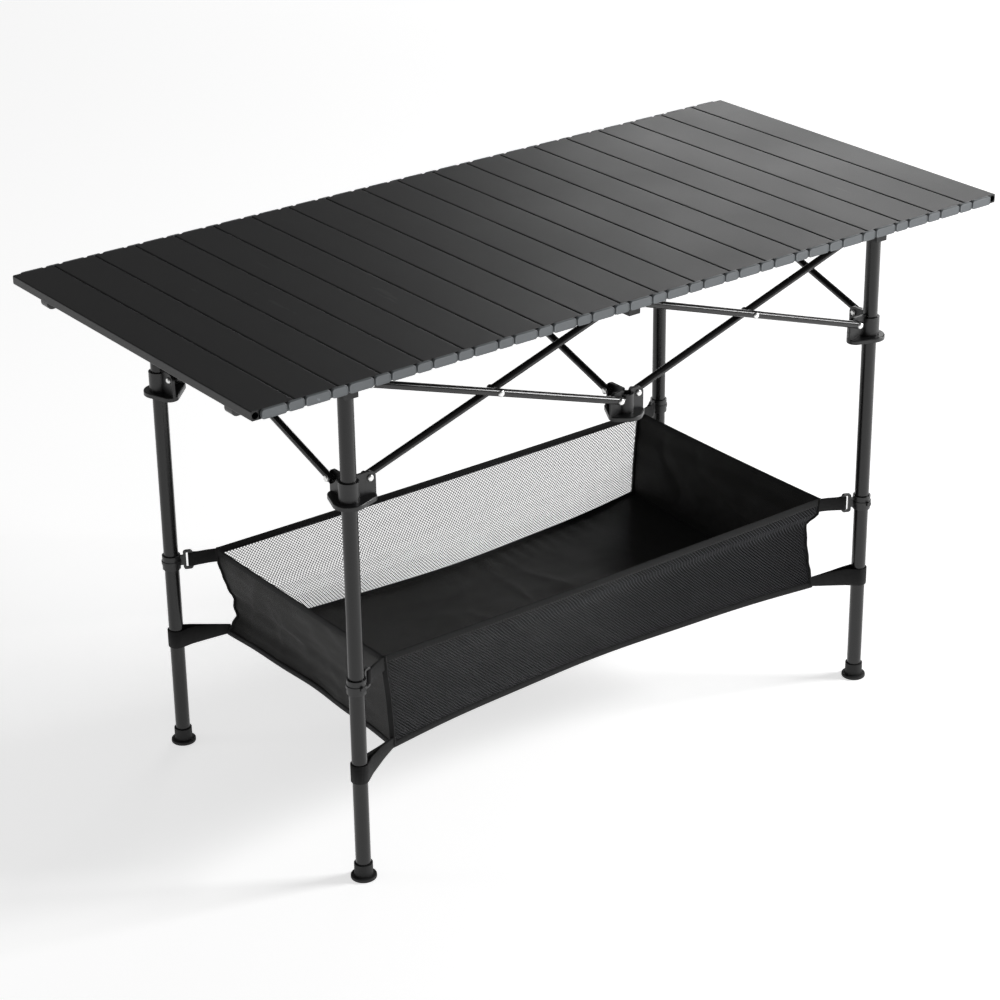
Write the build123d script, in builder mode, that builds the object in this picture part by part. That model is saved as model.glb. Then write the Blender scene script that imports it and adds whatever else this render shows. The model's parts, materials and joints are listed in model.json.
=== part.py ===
"""Roll-top camp kitchen table on a folding scissor frame, with a storage basket hung between the legs.

Millimetres, +Z up. The origin is on the ground, under the middle of the table. X runs along the table.
"""

import os
from math import atan2, degrees, hypot

from build123d import *

# ---- Driving dimensions -------------------------------------------------------------------------

# Tabletop
table_height = 715.0
slat_count = 20
slat_pitch = 60.0
slat_gap = 1.5
slat_length = 564.0
slat_thickness = 12.0
slat_wall = 0.8
slat_edge_radius = 1.6
slat_channel_radius = 4.4
slat_channel_web = 0.65
cap_thickness = 4.0
cap_margin = 0.2
cap_corner_radius = 3.6
cap_gap = 2.0
link_width = 23.0
plug_depth = 16.0
plug_clearance = 0.2
lug_width = 18.0
lug_depth = 16.0
lug_height = 16.0
lug_nose_radius = 7.5
lug_inset = 18.0
lug_spread = 218.0

# Frame
leg_radius = 10.0
leg_wall = 1.2
strut_radius = 5.0
strut_wall = 1.0
strut_end = 6.5
strut_flat_depth = 0.7
pivot_span = 384.0
pivot_rise = 125.0
leg_reach = 30.0
mid_clearance = 2.0
pivot_drop = 21.7
ear_thickness = 4.0
ear_radius = 8.5
rivet_radius = 2.5
rivet_head_radius = 4.5
rivet_head_height = 2.8
rivet_dome = 2.4
spacer_radius = 4.5

# Hubs, sliders, feet
hub_wall = 2.5
hub_height = 31.0
hub_block_width = 18.0
hub_block_reach = 15.0
hub_cover = 2.7
mid_hub_radius = 9.5
mid_bore_radius = 6.0
slider_wall = 2.7
slider_height = 32.0
slider_pivot_height = 28.0
flange_thickness = 6.0
flange_lip = 8.0
flange_tip = 12.0
foot_lip = 4.8
foot_disc_height = 5.0
foot_sleeve_wall = 2.2
foot_sleeve_height = 22.0

# Net collars
collar_drop = 11.0
collar_height = 20.0
collar_wall = 2.2
collar_ridge = 1.0
collar_ridge_height = 4.0
collar_boss_radius = 3.6
collar_boss_reach = 2.5
loop_height = 28.0
loop_thickness = 4.0
loop_length = 17.0
loop_neck = 7.5
loop_slot_width = 4.6
loop_slot_height = 22.0

# Storage basket
basket_rim_z = 291.0
basket_floor_z = 166.0
basket_gap_x = 58.0
basket_gap_y = 24.0
sheet_thickness = 1.5
binding_height = 12.0
binding_thickness = 1.2
strap_width = 20.0
strap_thickness = 1.4
lower_strap_width = 28.0
lower_strap_drop = 3.0

# Clearances
running_clearance = 0.3
rivet_clearance = 0.06
head_clearance = 0.2

# ---- Places that follow from them ---------------------------------------------------------------

table_length = slat_count * slat_pitch
slat_width = slat_pitch - slat_gap
slat_mid_z = table_height - slat_thickness / 2
top_underside_z = table_height - slat_thickness
channel_x = slat_width / 2 - slat_wall - slat_channel_radius
cavity_width = 2 * (channel_x - slat_channel_radius - slat_channel_web)
cavity_height = slat_thickness - 2 * slat_wall
cap_face_height = slat_thickness - 2 * cap_margin
end_cap_width = slat_pitch - link_width - 2 * cap_gap

hub_top_z = top_underside_z - running_clearance
upper_pivot_z = hub_top_z - pivot_drop
lower_pivot_z = upper_pivot_z - pivot_rise
crossing_z = (upper_pivot_z + lower_pivot_z) / 2
slider_z = lower_pivot_z - slider_pivot_height
mid_reach = mid_hub_radius + strut_end + mid_clearance
leg_x = mid_reach + pivot_span + leg_reach
leg_y = pivot_span / 2 + leg_reach
leg_top_z = hub_top_z - hub_cover

strut_length = hypot(pivot_span, pivot_rise)
strut_slope = degrees(atan2(pivot_rise, pivot_span))
strut_flat = strut_radius - strut_flat_depth
spacer_thickness = ear_thickness
layer_offset = ear_thickness / 2 + running_clearance + strut_radius
pivot_hole_radius = rivet_radius + rivet_clearance
sliding_bore_radius = leg_radius + running_clearance

hub_radius = leg_radius + hub_wall
slider_radius = sliding_bore_radius + slider_wall
flange_rim = slider_radius + flange_lip
foot_sleeve_radius = leg_radius + foot_sleeve_wall
foot_radius = foot_sleeve_radius + foot_lip
collar_radius = sliding_bore_radius + collar_wall

basket_half_x = leg_x - basket_gap_x
basket_half_y = leg_y - basket_gap_y
collar_z = basket_rim_z - collar_drop
lower_strap_z = basket_floor_z - lower_strap_drop

CORNERS = {
    "front_left": (-1, -1),
    "front_right": (1, -1),
    "back_left": (-1, 1),
    "back_right": (1, 1),
}
ROWS = {"front": -1, "back": 1}

os.makedirs("parts", exist_ok=True)


def save(part, name):
    """Label a finished piece and write it as its own STEP file."""
    part.label = name
    export_step(part, f"parts/{name}.step")


def upright_plane(x, y, along):
    """Vertical plane through a point: its x runs along the given direction and its y runs up."""
    dx, dy = along
    return Plane(origin=(x, y, 0), x_dir=(dx, dy, 0), z_dir=(dy, -dx, 0))


def ear_outline(reach, pivot_z, root_z):
    """Flat ear, in the current sketch: square where it meets its plate, round about the pivot."""
    free_side = 1 if pivot_z > root_z else -1
    with Locations(((reach + ear_radius) / 2, (root_z + pivot_z) / 2)):
        Rectangle(reach + ear_radius, abs(root_z - pivot_z))
    with Locations((reach / 2, pivot_z + free_side * ear_radius / 2)):
        Rectangle(reach, ear_radius)
    with Locations((reach, pivot_z)):
        Circle(ear_radius)
        Circle(pivot_hole_radius, mode=Mode.SUBTRACT)


def corner_ears(side_x, side_y):
    """The two ears of a corner piece, pointing along the table and across it, towards its middle."""
    return [((-side_x, 0), leg_reach), ((0, -side_y), leg_reach)]


def middle_ears(side_y):
    """The three ears of a middle piece: one to each side along the table, and one across it."""
    return [((-1, 0), mid_reach), ((1, 0), mid_reach), ((0, -side_y), leg_reach)]


# ---- Legs and what is on them -------------------------------------------------------------------


def make_leg(x, y):
    """Straight round tube, from the foot's socket up into the top hub."""
    with BuildPart() as tube:
        with BuildSketch(Plane(origin=(x, y, foot_disc_height))):
            Circle(leg_radius)
            Circle(leg_radius - leg_wall, mode=Mode.SUBTRACT)
        extrude(amount=leg_top_z - foot_disc_height)
    return tube.part


def make_foot(x, y):
    """Rubber foot: a disc on the ground and a socket that grips the end of the tube."""
    with BuildPart() as foot:
        with BuildSketch(Plane(origin=(x, y, 0))):
            Circle(foot_radius)
        extrude(amount=foot_disc_height)
        rim = foot.edges().filter_by(GeomType.CIRCLE)
        fillet(rim, foot_disc_height / 4)
        with BuildSketch(Plane(origin=(x, y, foot_disc_height))):
            Circle(foot_sleeve_radius)
            Circle(leg_radius, mode=Mode.SUBTRACT)
        extrude(amount=foot_sleeve_height - foot_disc_height)
    return foot.part


def make_top_hub(x, y, side_y, body_radius, ears, socket_radius):
    """Moulded hub under the tabletop, with an ear for each strut and a square block on its outer side."""
    with BuildPart() as hub:
        with BuildSketch(Plane(origin=(x, y, hub_top_z - hub_height))):
            Circle(body_radius)
            with Locations((0, side_y * hub_block_reach / 2)):
                Rectangle(hub_block_width, hub_block_reach)
        extrude(amount=hub_height)
        for along, reach in ears:
            with BuildSketch(upright_plane(x, y, along)):
                ear_outline(reach, upper_pivot_z, hub_top_z)
            extrude(amount=ear_thickness / 2, both=True)
        with BuildSketch(Plane(origin=(x, y, hub_top_z - hub_height))):
            Circle(socket_radius)
        extrude(amount=leg_top_z - hub_top_z + hub_height, mode=Mode.SUBTRACT)
    return hub.part


def make_lower_hub(x, y, body_radius, bore_radius, ears):
    """Lower moulding: a sleeve with a broad flange at its foot and an ear for each strut."""
    with BuildPart() as hub:
        with BuildSketch(Plane(origin=(x, y, slider_z))):
            Circle(flange_rim)
            for (dx, dy), reach in ears:
                with Locations(((reach + ear_radius - flange_tip) * dx, (reach + ear_radius - flange_tip) * dy)):
                    Circle(flange_tip)
            make_hull()
        extrude(amount=flange_thickness)
        fillet(hub.faces().sort_by(Axis.Z)[-1].edges(), flange_thickness / 4)
        with BuildSketch(Plane(origin=(x, y, slider_z))):
            Circle(body_radius)
        extrude(amount=slider_height)
        for along, reach in ears:
            with BuildSketch(upright_plane(x, y, along)):
                ear_outline(reach, lower_pivot_z, slider_z + flange_thickness / 2)
            extrude(amount=ear_thickness / 2, both=True)
        with BuildSketch(Plane(origin=(x, y, slider_z))):
            Circle(bore_radius)
        extrude(amount=slider_height + 2 * ear_radius, mode=Mode.SUBTRACT)
    return hub.part


def strap_direction(side_x, side_y):
    """Level unit vector from a leg towards the basket's corner."""
    distance = hypot(basket_gap_x, basket_gap_y)
    return (-side_x * basket_gap_x / distance, -side_y * basket_gap_y / distance)


def make_collar(x, y, side_x, side_y):
    """Ridged ring that slides on the leg, with a slotted loop for the basket's strap and a small boss."""
    loop_end = collar_radius + loop_length
    slot_start = collar_radius + loop_neck
    with BuildPart() as collar:
        with BuildSketch(Plane(origin=(x, y, collar_z - collar_height / 2))):
            Circle(collar_radius)
        extrude(amount=collar_height)
        with BuildSketch(Plane(origin=(x, y, collar_z - collar_ridge_height / 2))):
            Circle(collar_radius + collar_ridge)
        extrude(amount=collar_ridge_height)
        with BuildSketch(upright_plane(x, y, strap_direction(side_x, side_y))):
            with Locations((loop_end / 2, collar_z)):
                Rectangle(loop_end, collar_height * 0.7)
            with Locations(((slot_start - loop_neck / 2 + loop_end) / 2, collar_z)):
                RectangleRounded(loop_end - slot_start + loop_neck / 2, loop_height, loop_neck / 2)
            with Locations((slot_start + loop_slot_width / 2, collar_z)):
                Rectangle(loop_slot_width, loop_slot_height, mode=Mode.SUBTRACT)
        extrude(amount=loop_thickness / 2, both=True)
        with BuildSketch(Plane(origin=(x, y, collar_z), x_dir=(1, 0, 0), z_dir=(0, side_y, 0))):
            Circle(collar_boss_radius)
        extrude(amount=collar_radius + collar_ridge + collar_boss_reach)
        with BuildSketch(Plane(origin=(x, y, collar_z - collar_height / 2))):
            Circle(sliding_bore_radius)
        extrude(amount=collar_height, mode=Mode.SUBTRACT)
    return collar.part


for corner, (side_x, side_y) in CORNERS.items():
    post_x = side_x * leg_x
    post_y = side_y * leg_y
    ears = corner_ears(side_x, side_y)
    save(make_leg(post_x, post_y), f"leg_{corner}")
    save(make_foot(post_x, post_y), f"foot_{corner}")
    save(make_top_hub(post_x, post_y, side_y, hub_radius, ears, leg_radius), f"top_hub_{corner}")
    save(make_lower_hub(post_x, post_y, slider_radius, sliding_bore_radius, ears), f"slider_{corner}")
    save(make_collar(post_x, post_y, side_x, side_y), f"net_collar_{corner}")

for row, side_y in ROWS.items():
    ears = middle_ears(side_y)
    top = make_top_hub(0, side_y * leg_y, side_y, mid_hub_radius, ears, mid_bore_radius)
    save(top, f"top_hub_{row}_middle")
    bottom = make_lower_hub(0, side_y * leg_y, mid_hub_radius, mid_bore_radius, ears)
    save(bottom, f"lower_hub_{row}_middle")

# ---- Scissor struts and their rivets --------------------------------------------------------------


def make_strut(plane, head_side):
    """Round tube along the plane's x, with a flat for each rivet head and three cross holes along its z."""
    spots = [-strut_length / 2, 0, strut_length / 2]
    with BuildPart(plane) as tube:
        Cylinder(strut_radius, strut_length + 2 * strut_end, rotation=(0, 90, 0))
        Cylinder(
            strut_radius - strut_wall,
            strut_length + 2 * strut_end,
            rotation=(0, 90, 0),
            mode=Mode.SUBTRACT,
        )
        with Locations(*[(spot, 0, head_side * (strut_flat + strut_flat_depth / 2)) for spot in spots]):
            Box(2 * rivet_head_radius, 2 * strut_radius, strut_flat_depth, mode=Mode.SUBTRACT)
        with Locations(*[(spot, 0, 0) for spot in spots]):
            Hole(pivot_hole_radius)
    return tube.part


def make_rivet(plane, low, high):
    """Rivet along the plane's z: a shank from low to high, and a domed head on each end."""
    above = (Align.CENTER, Align.CENTER, Align.MIN)
    below = (Align.CENTER, Align.CENTER, Align.MAX)
    with BuildPart(plane) as rivet:
        with Locations((0, 0, low)):
            Cylinder(rivet_radius, high - low, align=above)
            Cylinder(rivet_head_radius, rivet_head_height, align=below)
        with Locations((0, 0, high)):
            Cylinder(rivet_head_radius, rivet_head_height, align=above)
        circles = rivet.edges().filter_by(GeomType.CIRCLE).sort_by(Axis(plane.origin, plane.z_dir))
        fillet([circles[0], circles[-1]], rivet_dome)
    return rivet.part


def make_spacer(plane):
    """Ring between two crossing struts, round the rivet that joins them."""
    with BuildPart() as spacer:
        with BuildSketch(plane.offset(-spacer_thickness / 2)):
            Circle(spacer_radius)
            Circle(pivot_hole_radius, mode=Mode.SUBTRACT)
        extrude(amount=spacer_thickness)
    return spacer.part


def make_rivets(cell, slope, head_side, crossing):
    """Rivets of one strut: one in each end, and the crossing rivet and its spacer if the strut holds them."""
    strut_face = layer_offset + strut_flat
    ear_face = ear_thickness / 2 + head_clearance
    low, high = sorted((head_side * strut_face, -head_side * ear_face))
    pieces = []
    for end in (-1, 1):
        pivot = cell.from_local_coords((end * pivot_span / 2, slope * end * pivot_rise / 2, 0))
        pieces.append(make_rivet(Plane(origin=pivot, x_dir=cell.x_dir, z_dir=cell.z_dir), low, high))
    if crossing:
        low, high = sorted((head_side * strut_face, -head_side * (strut_face + head_clearance)))
        pieces.append(make_rivet(cell, low, high))
        pieces.append(make_spacer(cell))
    return Compound(children=pieces)


def make_pair(name, cell, outer_slope, labels):
    """Two struts that cross at the middle of a cell, one on each side of the ears."""
    for label, head_side, slope in ((labels[0], 1, outer_slope), (labels[1], -1, -outer_slope)):
        axis_plane = Plane(
            origin=cell.offset(head_side * layer_offset).origin,
            x_dir=cell.x_dir.rotate(Axis((0, 0, 0), cell.z_dir), slope * strut_slope),
            z_dir=cell.z_dir,
        )
        save(make_strut(axis_plane, head_side), f"strut_{name}_{label}")
        save(make_rivets(cell, slope, head_side, head_side == 1), f"rivets_{name}_{label}")


# Cells along the table: seen from outside the frame, the outer strut of a front cell falls towards +X,
# and a back cell is its mirror image.
for row, side_y in ROWS.items():
    for half, side_x in (("left", -1), ("right", 1)):
        cell_centre = (side_x * (mid_reach + pivot_span / 2), side_y * leg_y, crossing_z)
        row_cell = Plane(origin=cell_centre, x_dir=(-side_y, 0, 0), z_dir=(0, side_y, 0))
        make_pair(f"{row}_{half}", row_cell, side_y, ("outer", "inner"))

# Cells across the table, at its two ends: the outer strut rises from the front to the back.
for half, side_x in (("left", -1), ("right", 1)):
    end_cell = Plane(origin=(side_x * leg_x, 0, crossing_z), x_dir=(0, side_x, 0), z_dir=(side_x, 0, 0))
    make_pair(half, end_cell, side_x, ("outer", "inner"))

# The cell across the middle: its left strut rises from the front to the back.
middle_cell = Plane(origin=(0, 0, crossing_z), x_dir=(0, -1, 0), z_dir=(-1, 0, 0))
make_pair("middle", middle_cell, -1, ("left", "right"))

# ---- Roll-up tabletop -----------------------------------------------------------------------------

with BuildPart() as slats:
    with BuildSketch(Plane(origin=(0, 0, slat_mid_z), x_dir=(1, 0, 0), z_dir=(0, -1, 0))):
        with GridLocations(slat_pitch, 0, slat_count, 1):
            RectangleRounded(slat_width, slat_thickness, slat_edge_radius)
            Rectangle(cavity_width, cavity_height, mode=Mode.SUBTRACT)
            with Locations((-channel_x, 0), (channel_x, 0)):
                Circle(slat_channel_radius, mode=Mode.SUBTRACT)
    extrude(amount=slat_length / 2, both=True)
save(slats.part, "slats")


def slat_end_plane(side_y):
    """Plane of the slats' cut ends on one side, looking outwards, its y up."""
    return Plane(
        origin=(0, side_y * slat_length / 2, slat_mid_z),
        x_dir=(-side_y, 0, 0),
        z_dir=(0, side_y, 0),
    )


# One cap on each end of each slat, with a plug in the slat's middle cavity.
with BuildPart() as slat_end_caps:
    for side_y in ROWS.values():
        with BuildSketch(slat_end_plane(side_y)):
            with GridLocations(slat_pitch, 0, slat_count, 1):
                RectangleRounded(end_cap_width, cap_face_height, cap_corner_radius)
        extrude(amount=cap_thickness)
        with BuildSketch(slat_end_plane(side_y)):
            with GridLocations(slat_pitch, 0, slat_count, 1):
                Rectangle(
                    min(cavity_width - 2 * plug_clearance, end_cap_width - 2 * cap_corner_radius),
                    cavity_height - 2 * plug_clearance,
                )
        extrude(amount=-plug_depth)
save(slat_end_caps.part, "slat_end_caps")

# One flexible link across each joint, with a round pin in the channel of either slat.
link_pin_offset = slat_pitch / 2 - channel_x
with BuildPart() as slat_links:
    for side_y in ROWS.values():
        with BuildSketch(slat_end_plane(side_y)):
            with GridLocations(slat_pitch, 0, slat_count - 1, 1):
                RectangleRounded(link_width, cap_face_height, cap_corner_radius)
        extrude(amount=cap_thickness)
        with BuildSketch(slat_end_plane(side_y)):
            with GridLocations(slat_pitch, 0, slat_count - 1, 1):
                with Locations((-link_pin_offset, 0), (link_pin_offset, 0)):
                    Circle(slat_channel_radius - plug_clearance)
        extrude(amount=-plug_depth)
save(slat_links.part, "slat_links")

# Two round-nosed lugs under each end slat, which keep the rolled top in its strap.
with BuildPart() as hook_lugs:
    with BuildSketch(Plane(origin=(0, 0, top_underside_z), x_dir=(1, 0, 0), z_dir=(0, -1, 0))) as lug_profile:
        with GridLocations(table_length - 2 * lug_inset, 0, 2, 1):
            with Locations((0, -lug_height / 2)):
                Rectangle(lug_width, lug_height)
        fillet(lug_profile.vertices().group_by(Axis.Z)[0], lug_nose_radius)
    extrude(amount=lug_spread + lug_depth / 2, both=True)
    with BuildSketch(Plane(origin=(0, 0, top_underside_z - lug_height))):
        Rectangle(table_length, 2 * lug_spread - lug_depth)
    extrude(amount=lug_height, mode=Mode.SUBTRACT)
save(hook_lugs.part, "hook_lugs")

# ---- Storage basket -------------------------------------------------------------------------------

# Floor and the two end walls, of close-woven cloth.
with BuildPart() as basket_fabric:
    with BuildSketch(Plane(origin=(0, 0, basket_floor_z))):
        Rectangle(2 * basket_half_x, 2 * basket_half_y)
    extrude(amount=sheet_thickness)
    with BuildSketch(Plane(origin=(0, 0, basket_floor_z + sheet_thickness))):
        with GridLocations(2 * basket_half_x - sheet_thickness, 0, 2, 1):
            Rectangle(sheet_thickness, 2 * basket_half_y)
    extrude(amount=basket_rim_z - basket_floor_z - sheet_thickness)
save(basket_fabric.part, "basket_fabric")

# Front and back walls, of open net.
with BuildPart() as basket_net:
    with BuildSketch(Plane(origin=(0, 0, basket_floor_z + sheet_thickness))):
        with GridLocations(0, 2 * basket_half_y - sheet_thickness, 1, 2):
            Rectangle(2 * (basket_half_x - sheet_thickness), sheet_thickness)
    extrude(amount=basket_rim_z - basket_floor_z - sheet_thickness)
save(basket_net.part, "basket_net")


def add_upper_strap(x, y, side_x, side_y):
    """Outline, in the current sketch, of a strap looped round the bar of a collar's slot."""
    along = strap_direction(side_x, side_y)
    bar_start = collar_radius + loop_neck + loop_slot_width
    bar_end = collar_radius + loop_length
    around = running_clearance + strap_thickness
    corner_distance = hypot(basket_gap_x, basket_gap_y) - running_clearance
    turn = degrees(atan2(along[1], along[0]))
    with Locations(Location((x, y, 0), (0, 0, turn))):
        with Locations(((bar_start + bar_end) / 2, 0)):
            Rectangle(bar_end - bar_start + 2 * around, loop_thickness + 2 * around)
        with Locations(((bar_end + corner_distance) / 2, 0)):
            Rectangle(corner_distance - bar_end, 2 * strap_thickness)
        with Locations(((bar_start + bar_end) / 2, 0)):
            Rectangle(
                bar_end - bar_start + 2 * running_clearance,
                loop_thickness + 2 * running_clearance,
                mode=Mode.SUBTRACT,
            )


def add_lower_strap(x, y, side_x, side_y):
    """Outline, in the current sketch, of a strap wrapped round a leg."""
    along = strap_direction(side_x, side_y)
    inner = sliding_bore_radius
    corner_distance = hypot(basket_gap_x, basket_gap_y) - running_clearance
    turn = degrees(atan2(along[1], along[0]))
    with Locations(Location((x, y, 0), (0, 0, turn))):
        with Locations(((inner + corner_distance) / 2, 0)):
            Rectangle(corner_distance - inner, 2 * strap_thickness)
        with Locations((0, 0)):
            Circle(inner + strap_thickness)
            Circle(inner, mode=Mode.SUBTRACT)


# Binding round the rim, and the straps that hold the basket to the collars and to the legs.
with BuildPart() as basket_webbing:
    with BuildSketch(Plane(origin=(0, 0, basket_rim_z - binding_height))):
        Rectangle(2 * (basket_half_x + binding_thickness), 2 * (basket_half_y + binding_thickness))
        Rectangle(2 * basket_half_x, 2 * basket_half_y, mode=Mode.SUBTRACT)
    extrude(amount=binding_height)
    with BuildSketch(Plane(origin=(0, 0, collar_z - strap_width / 2))):
        for side_x, side_y in CORNERS.values():
            add_upper_strap(side_x * leg_x, side_y * leg_y, side_x, side_y)
        Rectangle(2 * basket_half_x, 2 * basket_half_y, mode=Mode.SUBTRACT)
    extrude(amount=strap_width)
    with BuildSketch(Plane(origin=(0, 0, lower_strap_z - lower_strap_width / 2))):
        for side_x, side_y in CORNERS.values():
            add_lower_strap(side_x * leg_x, side_y * leg_y, side_x, side_y)
        Rectangle(2 * basket_half_x, 2 * basket_half_y, mode=Mode.SUBTRACT)
    extrude(amount=lower_strap_width)
save(basket_webbing.part, "basket_webbing")
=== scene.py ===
"""Camp kitchen table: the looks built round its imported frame. Metres, +Z up, the origin on the ground."""

import json
from math import atan2, cos, hypot, pi, radians, sin

import bmesh
import bpy
from mathutils import Euler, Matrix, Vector, noise

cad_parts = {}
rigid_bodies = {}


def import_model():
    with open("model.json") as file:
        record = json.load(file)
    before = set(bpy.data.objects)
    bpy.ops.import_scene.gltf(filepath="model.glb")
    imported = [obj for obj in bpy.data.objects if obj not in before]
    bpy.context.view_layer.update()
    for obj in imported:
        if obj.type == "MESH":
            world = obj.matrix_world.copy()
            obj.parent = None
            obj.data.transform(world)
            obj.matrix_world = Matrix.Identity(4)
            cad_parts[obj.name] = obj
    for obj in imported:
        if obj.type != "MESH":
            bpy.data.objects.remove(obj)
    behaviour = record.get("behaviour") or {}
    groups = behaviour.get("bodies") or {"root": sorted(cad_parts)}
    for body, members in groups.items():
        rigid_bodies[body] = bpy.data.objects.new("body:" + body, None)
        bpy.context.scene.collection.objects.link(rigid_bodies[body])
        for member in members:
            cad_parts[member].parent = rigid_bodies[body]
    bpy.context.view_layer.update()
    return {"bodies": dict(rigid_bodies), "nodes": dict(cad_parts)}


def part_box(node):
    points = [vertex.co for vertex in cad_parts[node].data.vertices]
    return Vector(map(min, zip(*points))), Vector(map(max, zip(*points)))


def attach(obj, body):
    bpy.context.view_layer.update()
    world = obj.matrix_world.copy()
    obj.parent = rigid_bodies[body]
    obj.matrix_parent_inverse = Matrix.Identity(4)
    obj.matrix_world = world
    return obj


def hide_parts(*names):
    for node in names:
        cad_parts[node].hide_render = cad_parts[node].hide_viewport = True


bl_info = {
    "name": "Camp Kitchen Table",
    "version": (1, 0, 0),
    "blender": (4, 5, 0),
    "location": "3D View > Sidebar > Camp Table",
    "description": "Slatted top, scissor frame finish and hanging basket of a roll-top camp table",
    "category": "Object",
}

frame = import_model()

MM = 0.001
CORNERS = {
    "front_left": (-1, -1),
    "front_right": (1, -1),
    "back_left": (-1, 1),
    "back_right": (1, 1),
}
ROOT_BODY = "front_left_leg"

# ---- Places read from the frame ----

basket_low, basket_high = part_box("basket_fabric")
slats_low, slats_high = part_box("slats")
caps_low, caps_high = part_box("slat_end_caps")
webbing_low, webbing_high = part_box("basket_webbing")


def leg_axis(corner):
    """Where a leg's centre line meets the ground."""
    low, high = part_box(f"leg_{corner}")
    return Vector(((low.x + high.x) / 2, (low.y + high.y) / 2, 0))


def middle_z(node):
    """Half-way height of a frame node."""
    low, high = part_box(node)
    return (low.z + high.z) / 2


# ---- Settings ----


def length_prop(label, text, millimetres):
    """A length, shown in scene units."""
    return bpy.props.FloatProperty(name=label, description=text, default=millimetres * MM, unit="LENGTH", precision=5)


def colour_prop(label, text, value):
    """A linear colour."""
    return bpy.props.FloatVectorProperty(
        name=label, description=text, default=value, size=3, subtype="COLOR", min=0, max=1
    )


def number_prop(label, text, value, unit="NONE"):
    """A plain number, or an angle in radians."""
    return bpy.props.FloatProperty(name=label, description=text, default=value, unit=unit)


class TopSettings(bpy.types.PropertyGroup):
    """Sizes and colours of the roll-up top."""

    slat_count: bpy.props.IntProperty(name="Slats", description="Number of slats in the top", default=20, min=2)
    slat_pitch: length_prop("Slat pitch", "Distance from one slat to the next", 60)
    cap_width: length_prop("End cap width", "Width of the cap on the end of each slat", 34.5)
    link_width: length_prop("Link width", "Width of the link across each joint", 22)
    cap_height: length_prop("Cap height", "Height of a cap's face", 12.2)
    cap_round: length_prop("Cap corner", "Corner radius of a cap's face", 3.6)
    coat_colour: colour_prop("Slat coat", "Powder coat of the slats", (0.008, 0.008, 0.0085))
    cap_colour: colour_prop("Cap plastic", "Moulded plastic of the caps and links", (0.148, 0.16, 0.168))


class FrameSettings(bpy.types.PropertyGroup):
    """Colours of the folding frame."""

    tube_colour: colour_prop("Tube coat", "Powder coat of the legs and struts", (0.0062, 0.006, 0.006))
    plastic_colour: colour_prop("Plastic", "Moulded hubs, sliders and collars", (0.008, 0.008, 0.0082))
    hub_colour: colour_prop("Top hub plastic", "Moulded top hubs", (0.012, 0.012, 0.0125))
    rubber_colour: colour_prop("Rubber", "Rubber feet", (0.012, 0.012, 0.012))
    rivet_colour: colour_prop("Rivets", "Zinc-plated rivets", (0.86, 0.86, 0.85))


class BasketSettings(bpy.types.PropertyGroup):
    """Sizes and colours of the hanging basket."""

    net_cell: length_prop("Net cell", "Distance between the net's parallel strands", 3.3)
    net_strand: length_prop("Net strand", "Thickness of a strand", 0.72)
    cloth_thickness: length_prop("Cloth thickness", "Thickness of the coated cloth", 0.7)
    wrinkle_depth: length_prop("Wrinkle depth", "Height of the cloth's soft folds", 4.0)
    floor_sag: length_prop("Floor sag", "How far the middle of the floor hangs", 5.0)
    side_bow: length_prop("Side bow", "How far the lower edge of a net wall is drawn in", 29)
    end_bow: length_prop("End bow", "How far the lower edge of an end wall is drawn in", 9)
    binding_width: length_prop("Binding width", "Height of the tape folded over the rim", 11)
    stitch_spacing: length_prop("Stitch spacing", "Distance from one stitch to the next", 4.2)
    cloth_colour: colour_prop("Cloth", "Coated cloth of the floor and ends", (0.0055, 0.0051, 0.0046))
    net_colour: colour_prop("Net", "Knitted strands of the net", (0.036, 0.037, 0.041))
    tape_colour: colour_prop("Webbing", "Binding tape and straps", (0.006, 0.006, 0.0062))
    thread_colour: colour_prop("Thread", "Sewing thread", (0.035, 0.035, 0.035))


class StageSettings(bpy.types.PropertyGroup):
    """Camera and light."""

    eye: bpy.props.FloatVectorProperty(
        name="Eye", description="Where the camera stands", default=(-2.0913, -2.7409, 1.9446), size=3, unit="LENGTH"
    )
    azimuth: number_prop("Azimuth", "Turn of the view about the upright", radians(-36.823), "ROTATION")
    elevation: number_prop("Elevation", "How steeply the view looks down", radians(25.138), "ROTATION")
    roll: number_prop("Roll", "Tilt of the picture", radians(-0.783), "ROTATION")
    focal: number_prop("Focal length", "Millimetres on a 36 mm sensor", 99.47)
    key_power: number_prop("Key light", "Watts of the main soft box", 120)
    fill_power: number_prop("Fill light", "Watts of the box beside the camera", 5)
    sheen_power: number_prop("Sheen light", "Watts of the box behind", 84)
    edge_power: number_prop("Edge light", "Watts of the box at the left", 8)
    room_light: number_prop("Room light", "Strength of the dim room", 0.15)
    floor_glow: number_prop("Floor glow", "Light given off by the floor", 0.62)


# ---- Small helpers ----


def add_node(tree, kind, inputs=None, **settings):
    """Add one node, set its settings, and link or set its inputs by name or number."""
    node = tree.nodes.new(kind)
    for name, value in settings.items():
        setattr(node, name, value)
    for key, value in (inputs or {}).items():
        if isinstance(value, bpy.types.NodeSocket):
            tree.links.new(value, node.inputs[key])
        else:
            node.inputs[key].default_value = value
    return node


def result(tree, kind, inputs=None, **settings):
    """First output of one new node."""
    return add_node(tree, kind, inputs, **settings).outputs[0]


def maths(tree, operation, first, second=0.0, third=0.0):
    """Result of one Math node."""
    return result(tree, "ShaderNodeMath", {0: first, 1: second, 2: third}, operation=operation)


def vector_maths(tree, operation, first, second=(0, 0, 0)):
    """Result of one Vector Math node."""
    return result(tree, "ShaderNodeVectorMath", {0: first, 1: second}, operation=operation)


def scaled(tree, vector, factor):
    """A vector times a number."""
    return result(tree, "ShaderNodeVectorMath", {0: vector, "Scale": factor}, operation="SCALE")


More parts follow.
